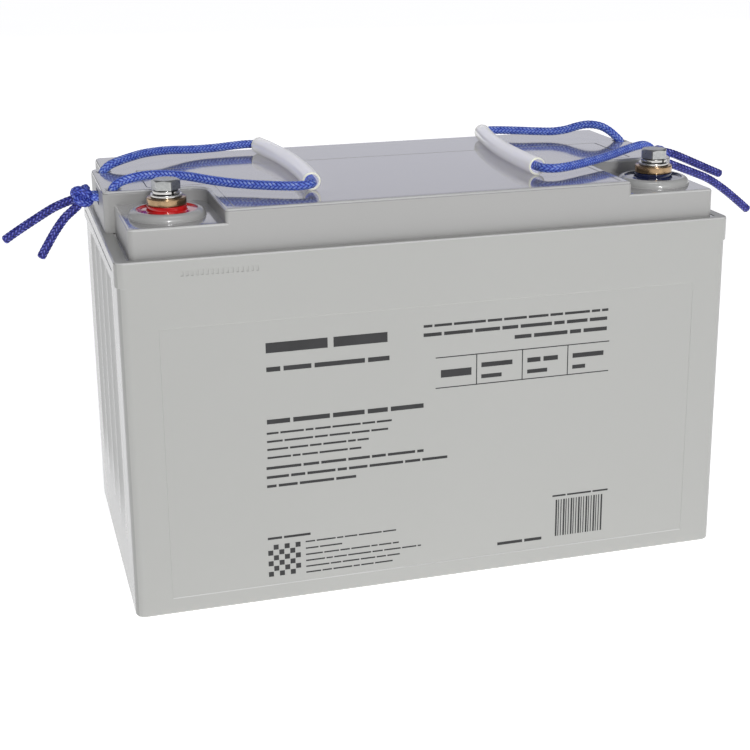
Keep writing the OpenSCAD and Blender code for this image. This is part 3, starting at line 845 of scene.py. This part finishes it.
def make_terminal(side, pole):
    centre = (side * TERMINAL_X, TERMINAL_Y)
    brass = [(9 * MM, 197 * MM), (9 * MM, 200.6 * MM), (8.2 * MM, 200.6 * MM), (8.2 * MM, 202.4 * MM)]
    brass += [(9 * MM, 202.4 * MM), (9 * MM, 211 * MM)]
    brass += arc((9.7 * MM, 211.3 * MM), 0.3 * MM, -90, 0, 3)
    brass += arc((9.5 * MM, 214.5 * MM), 0.5 * MM, 0, 90, 4)
    brass += [(4.7 * MM, POST_Z), (4 * MM, POST_Z - 0.7 * MM), (4 * MM, 198 * MM), (0.4 * MM, 197.6 * MM)]
    brass += [(0.4 * MM, 197 * MM)]
    pocket, post = POCKET_R - 0.03 * MM, 9.05 * MM
    pool = [(post, 204.55 * MM), (post, 210.9 * MM)]
    pool += arc((9.7 * MM, 210.6 * MM), 0.35 * MM, 90, 0, 3)
    pool += arc((10.85 * MM, 208.8 * MM), 0.8 * MM, 180, 270, 5)
    pool += arc((pocket - 0.9 * MM, 208.9 * MM), 0.9 * MM, 270, 350, 5)
    pool += [(pocket, 204.55 * MM)]
    washer = ring_section(*FLAT_WASHER[:2], POST_Z, FLAT_WASHER[2], 0.3 * MM)
    bolt = joined(hex_head(centre, math.radians(HEAD_TURN[pole])), threaded_shank(centre))
    resin_look = (RED, "red_resin") if side < 0 else (NAVY, "dark_blue_resin")
    washer_body, bolt_body = pole + "_washers", pole + "_bolt_body"
    # Piece, CAD node, shape, material, body, slot, fold angle that stays sharp
    rows = (
        ("post", "terminal", lathe(brass, centre, 96), BRASS, "battery", "terminal_brass", 35),
        ("sealing_resin", "resin_ring", lathe(pool, centre, 96), resin_look[0], "battery", resin_look[1], 50),
        ("plain_washer", "flat_washer", lathe(washer, centre, 96), BRIGHT, washer_body, "washer_steel", 40),
        ("split_washer", "spring_washer", split_washer(centre), BRIGHT, washer_body, "washer_steel", 40),
        ("hex_bolt", "bolt", bolt, ZINC, bolt_body, "bolt_steel", 24),
    )
    for name, cad, shape, material, body, slot, sharp in rows:
        obj = piece("%s_%s" % (pole, name), *shape, material, body, slot, sharp)
        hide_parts("%s_%s" % (pole, cad))


def make_valve(i):
    """A rubber cap over its nozzle, with a soft rim."""
    centre = (valve_x(i), VALVE_Y)
    section = [(5.05 * MM, 200 * MM), (5.05 * MM, 204.52 * MM)]
    section += [(0.3 * MM, 204.52 * MM), (0.3 * MM, 206.4 * MM)]
    section += arc((6.2 * MM, 205.6 * MM), 0.8 * MM, 90, 0, 4)
    section += [(7 * MM, 201 * MM), (6.6 * MM, 200 * MM)]
    obj = piece("rubber_cap_%d" % i, *lathe(section, centre, 48), RUBBER, "valve_%d" % i, "valve_rubber")
    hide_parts("vent_valve_%d" % i)


# ---- Ropes ----

# Front mouth of each grip tube, and the lean of its chord from the Y axis in degrees
GRIPS = {"left": (-0.058, -0.0505, 2.2), "right": (0.068, -0.049, -5.0)}

# Routes from the CAD, with heights from the lid's top
FRONT_ROUTE = {
    "left": [
        (-0.1565, -0.014, 0), (-0.1535, -0.014, 0.003), (-0.1485, -0.0144, 0.0049),
        (-0.141, -0.0158, 0.0065), (-0.133, -0.0185, 0.0072), (-0.126, -0.022, 0.0072),
        (-0.118, -0.027, 0.0068), (-0.107, -0.0355, 0.0056), (-0.095, -0.044, 0.0048),
        (-0.082, -0.052, 0.0046), (-0.072, -0.057, 0.0046), (-0.0645, -0.0586, 0.0047),
        (-0.0595, -0.056, 0.0048),
    ],
    "right": [
        (0.1565, -0.014, 0), (0.1533, -0.014, 0.0032), (0.1498, -0.0149, 0.0056),
        (0.145, -0.0174, 0.0069), (0.1385, -0.0206, 0.0067), (0.131, -0.0248, 0.0061),
        (0.122, -0.0305, 0.0054), (0.113, -0.0366, 0.005), (0.103, -0.043, 0.0048),
        (0.093, -0.049, 0.0047), (0.084, -0.054, 0.0047), (0.076, -0.057, 0.0048),
        (0.07, -0.055, 0.0048),
    ],
}
BACK_ROUTE = {
    "left": [
        (-0.064, 0.0695, 0.0048), (-0.069, 0.071, 0.0048), (-0.077, 0.07, 0.0046),
        (-0.087, 0.068, 0.0043), (-0.096, 0.0665, 0.0043), (-0.105, 0.064, 0.0048),
        (-0.114, 0.06, 0.0058), (-0.123, 0.0545, 0.0066), (-0.133, 0.048, 0.0068),
        (-0.142, 0.0418, 0.006), (-0.149, 0.038, 0.0047), (-0.1535, 0.0364, 0.003),
        (-0.1565, 0.036, 0),
    ],
    "right": [
        (0.08, 0.0695, 0.0048), (0.085, 0.071, 0.0049), (0.093, 0.067, 0.0051),
        (0.102, 0.062, 0.0051), (0.111, 0.0585, 0.0048), (0.12, 0.055, 0.0048),
        (0.1275, 0.052, 0.006), (0.1335, 0.0495, 0.008), (0.1395, 0.046, 0.0094),
        (0.1455, 0.0418, 0.0088), (0.1498, 0.0382, 0.0064), (0.1533, 0.0362, 0.0032),
        (0.1565, 0.036, 0),
    ],
}
# The left front leg, inside the tab. The others mirror it, at the back about the slot's middle
SLOT_Y = 0.011
LEG_ROUTE = [
    (-0.1565, -0.014, -0.0029), (-0.1565, -0.0138, -0.005), (-0.1565, -0.0116, -0.0076),
    (-0.1565, -0.007, -0.0085), (-0.1565, -0.001, -0.0085), (-0.157, 0.004, -0.0085),
    (-0.1595, 0.0076, -0.0084), (-0.163, 0.0086, -0.0082), (-0.166, 0.0094, -0.0078),
]
KNOT_PLACE = {"left": (-0.1705, 0.011, -0.0076), "right": (0.1705, 0.011, -0.0064)}
TAIL_ROUTE = {
    ("left", "upper"): [
        (-0.174, 0.014, -0.0095), (-0.18, 0.015, -0.0116), (-0.187, 0.0155, -0.0146),
        (-0.197, 0.016, -0.0204), (-0.207, 0.016, -0.0264), (-0.215, 0.016, -0.0316),
    ],
    ("left", "lower"): [
        (-0.1725, 0.0085, -0.0115), (-0.1765, 0.0075, -0.0146), (-0.181, 0.007, -0.0184),
        (-0.186, 0.007, -0.0248), (-0.191, 0.007, -0.0326), (-0.196, 0.007, -0.041),
    ],
    ("right", "upper"): [
        (0.174, 0.0135, -0.0036), (0.182, 0.014, -0.006), (0.194, 0.014, -0.0112),
        (0.206, 0.014, -0.0166), (0.216, 0.014, -0.021),
    ],
    ("right", "lower"): [
        (0.1745, 0.0095, -0.0095), (0.182, 0.009, -0.0126), (0.192, 0.009, -0.0166),
        (0.203, 0.009, -0.0214), (0.213, 0.009, -0.0278), (0.223, 0.009, -0.0356),
        (0.233, 0.009, -0.044),
    ],
}
STRANDS = 8
BRAID_PITCH = 18 * MM
ROPE_STEP = 0.3 * MM
ROPE_AROUND = 48
FIBRES = 34
# In radians
GOLDEN_ANGLE = 2.399


def lifted(route):
    return [Vector((x, y, LID_Z + z)) for x, y, z in route]


def grip_arc(name, side, steps=10):
    """Points along a grip's arc, from its front mouth to its back mouth."""
    x, y, lean = GRIPS[name]
    lean = math.radians(lean)
    radius = (GRIP_L ** 2 / 4 + GRIP_BULGE ** 2) / (2 * GRIP_BULGE)
    whole = 2 * math.asin(GRIP_L / 2 / radius)
    made = []
    for k in range(steps + 1):
        a = whole * (k / steps - 0.5)
        along = radius * math.sin(a) + GRIP_L / 2
        out = radius * (math.cos(a) - math.cos(whole / 2))
        made.append(Vector((
            x - along * math.sin(lean) - side * out * math.cos(lean),
            y + along * math.cos(lean) - side * out * math.sin(lean),
            LID_Z + GRIP_D / 2,
        )))
    return made


def smooth_line(points, step):
    """A smooth curve through points, with even steps along it."""
    control = [points[0] * 2 - points[1]] + list(points) + [points[-1] * 2 - points[-2]]
    fine = []
    for i in range(1, len(control) - 2):
        p0, p1, p2, p3 = control[i - 1:i + 3]
        for k in range(24):
            t = k / 24
            fine.append(0.5 * (
                2 * p1 + (p2 - p0) * t + (2 * p0 - 5 * p1 + 4 * p2 - p3) * t * t
                + (3 * p1 - p0 - 3 * p2 + p3) * t ** 3
            ))
    fine.append(control[-2])
    array = np.array([tuple(p) for p in fine])
    lengths = np.concatenate([[0], np.cumsum(np.linalg.norm(np.diff(array, axis=0), axis=1))])
    count = max(int(lengths[-1] / step), 4)
    places = np.linspace(0, lengths[-1], count + 1)
    return np.stack([np.interp(places, lengths, array[:, axis]) for axis in range(3)], axis=1), places


def frames(line, closed=False):
    """Two unit directions across the line at each point, which turn with it as little as they can."""
    ahead = np.roll(line, -1, 0) - np.roll(line, 1, 0) if closed else np.gradient(line, axis=0)
    ahead /= np.linalg.norm(ahead, axis=1)[:, None]
    first = np.cross(ahead[0], (0.0, 0.0, 1.0))
    if np.linalg.norm(first) < 0.1:
        first = np.cross(ahead[0], (1.0, 0.0, 0.0))
    across = [first / np.linalg.norm(first)]
    for t in ahead[1:]:
        v = across[-1] - t * np.dot(across[-1], t)
        across.append(v / np.linalg.norm(v))
    across = np.array(across)
    return across, np.cross(ahead, across)


def braid(around, along):
    """A braid's height from 0 to 1, place across its strand and tone, for strands over two and under two."""
    a = STRANDS * (around / (2 * math.pi) + along / BRAID_PITCH)
    b = STRANDS * (-around / (2 * math.pi) + along / BRAID_PITCH)
    cell_a, cell_b = np.floor(a), np.floor(b)
    first_on_top = np.mod(cell_a - cell_b, 4) < 2
    across = np.where(first_on_top, a - cell_a, b - cell_b)
    run = np.where(first_on_top, np.mod(b - cell_a + 1, 4), np.mod(a - cell_b - 2, 4))
    crown = np.sqrt(np.clip(1 - (2 * across - 1) ** 2 * 0.97, 0, 1))
    over = 0.5 + 0.5 * np.sqrt(np.clip(np.sin(run * math.pi / 2), 0, 1))
    tone = np.where(first_on_top, cell_a * 7 + cell_b * 3, cell_b * 5 + cell_a * 11)
    return crown * over, across, np.mod(tone, 5) / 5


def braided_tube(name, line, places, body, closed=False, radius=ROPE_D / 2, material=ROPE):
    """A braided rope along a line, as one closed mesh with strand coordinates for its material."""
    around, levels = ROPE_AROUND, len(line)
    one, two = frames(line, closed)
    angles = np.linspace(0, 2 * math.pi, around + 1)[:-1]
    grid_a, grid_s = np.meshgrid(angles, places)
    height, across, tone = braid(grid_a, grid_s)
    r = radius * (0.81 + 0.185 * height)
    if not closed:
        total = places[-1]
        near_end = np.minimum(places, total - places) / (1.1 * MM)
        tight = np.sqrt(np.clip(1 - (1 - np.clip(near_end, 0, 1)) ** 2 * 0.75, 0, 1))
        r = r * tight[:, None]
    points = (
        line[:, None, :] + one[:, None, :] * (np.cos(grid_a) * r)[..., None]
        + two[:, None, :] * (np.sin(grid_a) * r)[..., None]
    ).reshape(-1, 3)
    faces = skin(levels, around, closed) if closed else caps(levels, around) + skin(levels, around)
    obj = piece(name, points, faces, material, body, "blue_rope", 75)
    # Strand height times each strand's tone; the material paints shade where it is low and a highlight where
    # it is high
    raised = obj.data.attributes.new("raised", "FLOAT", "POINT")
    raised.data.foreach_set("value", (height * (0.7 + 0.3 * tone)).reshape(-1).astype(np.float32))
    corners = np.empty(len(obj.data.loops), np.int32)
    obj.data.loops.foreach_get("vertex_index", corners)
    flat = np.stack([across.reshape(-1) + tone.reshape(-1) * 9, grid_s.reshape(-1) * 260], axis=1)
    layer = obj.data.uv_layers.new(name="strands")
    layer.data.foreach_set("uv", flat[corners].reshape(-1).astype(np.float32))
    return obj


def make_knot(name, side):
    """A stopper knot: the rope wound over and under itself, drawn up tight."""
    centre = np.array(KNOT_PLACE[name]) + np.array((0, 0, LID_Z))
    turns = np.linspace(0, 2 * math.pi, 261)[:-1]
    wide, thick = 2.75 * MM, 1.85 * MM
    ring = wide + thick * np.cos(3 * turns)
    flat = [thick * 1.8 * np.sin(3 * turns), ring * np.cos(2 * turns), ring * np.sin(2 * turns)]
    lean = math.radians(24) * side
    c, s = math.cos(lean), math.sin(lean)
    line = np.stack(flat, axis=1) @ np.array(((c, 0, -s), (0, 1, 0), (s, 0, c))) + centre
    steps = np.linalg.norm(np.roll(line, -1, 0) - line, axis=1)
    places = np.concatenate([[0], np.cumsum(steps)[:-1]])
    # The knot takes the darker rope colours, which are painted shade
    obj = braided_tube(name + "_stopper_knot", line, places, "battery", True, 2.35 * MM, SHADED_KNOT)
    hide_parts(name + "_knot")
    return obj


def make_frayed_end(name, line):
    """Loose fibres at a cut end, some bent outwards."""
    tip, back = Vector(line[-1]), Vector(line[-6])
    tip = tip - (tip - back).normalized() * 1.6 * MM
    ahead = (tip - back).normalized()
    side = ahead.cross(Vector((0, 0, 1))).normalized()
    up = side.cross(ahead)
    solids = []
    around = [2 * math.pi * k / 5 for k in range(5)]
    for k in range(FIBRES):
        turn = k * GOLDEN_ANGLE
        spread = math.sqrt((k + 0.5) / FIBRES)
        out = side * math.cos(turn) + up * math.sin(turn)
        root = tip - ahead * 0.9 * MM + out * spread * 1.75 * MM
        long = (1.3 + 0.9 * math.sin(k * 1.7) ** 2) * MM
        bend = out * spread * (0.35 + 0.5 * math.sin(k * 2.3) ** 2) * MM
        rings = []
        for t, r in ((0, 0.24), (0.5, 0.2), (1, 0.08)):
            middle = root + ahead * long * t + bend * t * t
            rings.append([middle + (side * math.cos(a) + up * math.sin(a)) * r * MM for a in around])
        solids.append(loft(rings))
    return piece(name, *joined(*solids), FRAYED, "battery", "blue_rope")


def make_grip(name, side):
    """A soft tube over the rope, lying in a shallow arc on the lid, with cut ends."""
    line, _ = smooth_line(grip_arc(name, side, 20), 1.5 * MM)
    one, two = frames(line)
    outer, inner, soft = GRIP_D / 2, GRIP_D / 2 - 1.2 * MM, 0.3 * MM
    around = 40
    last = len(line) - 1
    # Each ring: its place along the line, its radius, and how far it is shifted along the line
    rings = [(0, inner + soft, 0), (0, outer - soft, 0), (0, outer, soft)]
    rings += [(level, outer, 0) for level in range(1, last)]
    rings += [(last, outer, -soft), (last, outer - soft, 0), (last, inner + soft, 0), (last, inner, -soft)]
    rings += [(level, inner, 0) for level in range(last - 1, 0, -1)]
    rings += [(0, inner, soft)]
    points = []
    for level, r, shift in rings:
        forward = line[min(level + 1, last)] - line[max(level - 1, 0)]
        at = line[level] + forward / np.linalg.norm(forward) * shift
        for a in (2 * math.pi * k / around for k in range(around)):
            points.append(at + one[level] * math.cos(a) * r + two[level] * math.sin(a) * r)
    faces = skin(len(rings), around, True)
    obj = piece(name + "_grip_sleeve", points, faces, TUBE, name + "_handle", "clear_tube", 60)
    obj.data.materials.append(TUBE_RIM)
    cut_rings = {len(rings) - 1, 0, 1, last + 1, last + 2, last + 3}
    for polygon in obj.data.polygons:
        if polygon.index // around in cut_rings:
            polygon.material_index = 1
    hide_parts(name + "_grip_tube")


def make_handle(side, name):
    """One rope: the loop over the lid, its two legs inside the tab, the knot and the cut tails."""
    for end in ("front", "back"):
        route = [(-side * x, y if end == "front" else 2 * SLOT_Y - y, z) for x, y, z in LEG_ROUTE]
        line, places = smooth_line(lifted([(route[0][0], route[0][1], -0.0012)] + route), ROPE_STEP)
        leg = braided_tube("%s_leg_%s" % (name, end), line, places, "battery")
        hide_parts("%s_rope_leg_%s" % (name, end))
    start, finish = FRONT_ROUTE[name][0], BACK_ROUTE[name][-1]
    over = lifted([(start[0], start[1], -0.002)] + FRONT_ROUTE[name]) + grip_arc(name, side)
    over += lifted(BACK_ROUTE[name] + [(finish[0], finish[1], -0.002)])
    line, places = smooth_line(over, ROPE_STEP)
    loop = braided_tube(name + "_rope", line, places, None)
    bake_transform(loop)
    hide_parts(name + "_rope_loop")
    knot = make_knot(name, side)
    for tail in ("upper", "lower"):
        line, places = smooth_line(lifted(TAIL_ROUTE[(name, tail)]), ROPE_STEP)
        line, places = line[:-6], places[:-6]
        # The cut tails take the darker rope colours, which are painted shade
        rope = braided_tube("%s_cut_end_%s" % (name, tail), line, places, "battery", material=SHADED_ROPE_END)
        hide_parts("%s_tail_%s" % (name, tail))
        fibres = make_frayed_end("%s_fibres_%s" % (name, tail), line)
    make_grip(name, side)


# ---- Printed graphics: bars in place of words, a ruled table and plain stripes, with no lettering ----

PRINT_Y = -HALF_Y + LABEL_D
PRINT_T = 0.04 * MM
# Each printed line in mm: left, right, foot, height of its bars
PRINT_LINES = (
    (-92, -28, 137.6, 5.4), (-92, -27, 127.6, 2.5), (-92.5, -8.5, 99.4, 2.5),
    (-92.8, -26, 93.8, 1.1), (-92.8, -28, 89.3, 1.1), (-92.8, -38.6, 84.9, 1.1), (-92.8, -42.7, 80.4, 1.1),
    (-93.5, -8.5, 74.5, 1.5), (-93.5, 4.8, 69.4, 1.5), (-93.5, -45.7, 64.4, 1.5),
    (-94, -71, 35, 1.3), (-73.8, -24, 31, 0.8), (-73.8, -54, 27.2, 0.8), (-73.8, -22.5, 23.6, 0.8),
    (-73.8, -10, 20.1, 0.8), (-73.8, -22, 16.7, 0.8), (-73.8, -26, 13.3, 0.8),
    (-8.5, 95.5, 143.3, 1.4), (-8.5, 95, 138.3, 1.9), (42, 95, 132.5, 2.1), (66, 99, 38.8, 1.0),
    (34, 60, 14.2, 1.7),
    (1, 18, 115, 4.2), (23.5, 41, 118.6, 2.6), (23.5, 35, 112.4, 2.2), (49.5, 67, 118.6, 2.6),
    (49.5, 61, 112.4, 2.2), (75.5, 93.5, 118.6, 2.6), (75.5, 83, 112.4, 2.2),
)
STRIPES = 19
CHECKER = 6
WORDS = (7.0, 4.5, 9.0, 3.0, 6.0, 11.0, 5.0, 8.0)


def bar(x, z, wide, high):
    """A thin printed bar; (x, z) is its lower left corner."""
    return block((x, x + wide), (PRINT_Y - PRINT_T, PRINT_Y + PRINT_T), (z, z + high))


def word_bars(left, right, foot, high, first):
    """A line of bars as long as words, from left to right."""
    made, x, k = [], left, first
    while x < right:
        wide = WORDS[k % len(WORDS)] * (0.55 + 0.75 * high)
        if right - x - wide < 3 * high:
            wide = right - x
        made.append(bar(x * MM, foot * MM, wide * MM, high * MM))
        x += wide + 0.4 + 0.5 * high
        k += 1
    return made


def make_print():
    bars = []
    for row, line in enumerate(PRINT_LINES):
        bars += word_bars(*line, row * 3)
    for z in (109.1, 125.9):
        bars.append(bar(-1.9 * MM, z * MM, 98.6 * MM, 0.55 * MM))
    for x in (20.6, 46.4, 72.4):
        bars.append(bar(x * MM, 109.1 * MM, 0.55 * MM, 17.2 * MM))
    for column in range(STRIPES):
        wide = 0.95 if column % 3 == 0 else 0.55
        bars.append(bar((68 + 1.5 * column) * MM, 15.1 * MM, wide * MM, 21.8 * MM))
    for column in range(CHECKER):
        for row in range(CHECKER):
            if (column + row) % 2 == 0:
                bars.append(bar((-94 + 2.95 * column) * MM, (13.8 + 3.05 * row) * MM, 2.7 * MM, 2.8 * MM))
    obj = piece("front_print", *joined(*bars), INK, "battery", "container_plastic")
    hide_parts("container")


# ---- The inside, and what the CAD already shapes ----


def finish_inside():
    looks = {
        "positive_plates": POSITIVE_PASTE, "negative_plates": NEGATIVE_PASTE, "separators": GLASS_MAT,
        "intercell_strap": LEAD, "positive_end_strap": LEAD, "negative_end_strap": LEAD,
        "positive_terminal_seal": RUBBER, "negative_terminal_seal": RUBBER,
    }
    for name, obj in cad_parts.items():
        for start, material in looks.items():
            if name.startswith(start):
                obj.data.materials.clear()
                obj.data.materials.append(material)


# ---- Light and floor ----

FLOOR_HALF = 9.0
BACKDROP_R = 8.5
BACKDROP_H = 12.0


def area_light(name, place, aim, size, power, colour=(1, 1, 1)):
    data = bpy.data.lights.new(name, "AREA")
    data.shape = "RECTANGLE"
    data.size, data.size_y = size
    data.energy = power
    data.color = colour
    light = bpy.data.objects.new(name, data)
    bpy.context.scene.collection.objects.link(light)
    light.location = place
    light.rotation_euler = (Vector(aim) - Vector(place)).to_track_quat("-Z", "Y").to_euler()


def sun_light(name, towards, spread, strength):
    data = bpy.data.lights.new(name, "SUN")
    data.angle = math.radians(spread)
    data.energy = strength
    light = bpy.data.objects.new(name, data)
    bpy.context.scene.collection.objects.link(light)
    light.rotation_euler = Vector(towards).to_track_quat("Z", "Y").to_euler()


def glowing(name, strength):
    material, tree, shader = new_material(name)
    shader.inputs["Emission Color"].default_value = (1, 1, 1, 1)
    shader.inputs["Emission Strength"].default_value = strength
    return material, tree, shader


def make_studio():
    material, tree, shader = glowing("pale_floor", 0.76)
    pale = ramp(tree, noise(tree, 3, 2), (0.93, 0.93, 0.93), (0.95, 0.95, 0.95))
    tree.links.new(pale, shader.inputs["Base Color"])
    shader.inputs["Roughness"].default_value = 0.9
    s = FLOOR_HALF
    floor = piece("floor", [(-s, -s, 0), (s, -s, 0), (s, s, 0), (-s, s, 0)], [(0, 1, 2, 3)], material, None)
    floor.location.z = -0.2 * MM
    # Seen by the camera only, so that it hides the horizon without lighting the object
    section = [(BACKDROP_R, -0.1), (BACKDROP_R, BACKDROP_H)]
    wall = piece("backdrop", *lathe(section, (0, 0), 96, False), glowing("white_backdrop", 1.0)[0], None)
    wall.visible_diffuse = wall.visible_glossy = wall.visible_transmission = wall.visible_shadow = False
    world = bpy.data.worlds.new("studio")
    bpy.context.scene.world = world
    world.use_nodes = True
    background = world.node_tree.nodes["Background"]
    background.inputs["Color"].default_value = (0.93, 0.94, 1.0, 1)
    background.inputs["Strength"].default_value = 0.16
    sun_light("grazing", (-0.03, -1, 0.3), 8, 1.03)
    area_light("front", (0.5, -2.6, 1.1), (0, 0, 0.12), (2.2, 1.2), 8)
    area_light("top", (0.05, -0.25, 1.6), (0, 0, 0.2), (0.9, 0.3), 2.5)
    area_light("backdrop", (0.3, 2.6, 1.15), (0, 0, 0.2), (3.4, 1.5), 9.5, (0.9, 0.9, 1.0))
    bpy.context.scene.view_settings.view_transform = "Standard"


make_camera()
for sign, _, name in SIDES:
    make_handle(sign, name)
make_container()
make_lid()
make_bosses()
make_vent_cover()
for sign, pole, _ in SIDES:
    make_terminal(sign, pole)
for number in range(1, CELLS + 1):
    make_valve(number)
make_print()
finish_inside()
make_studio()
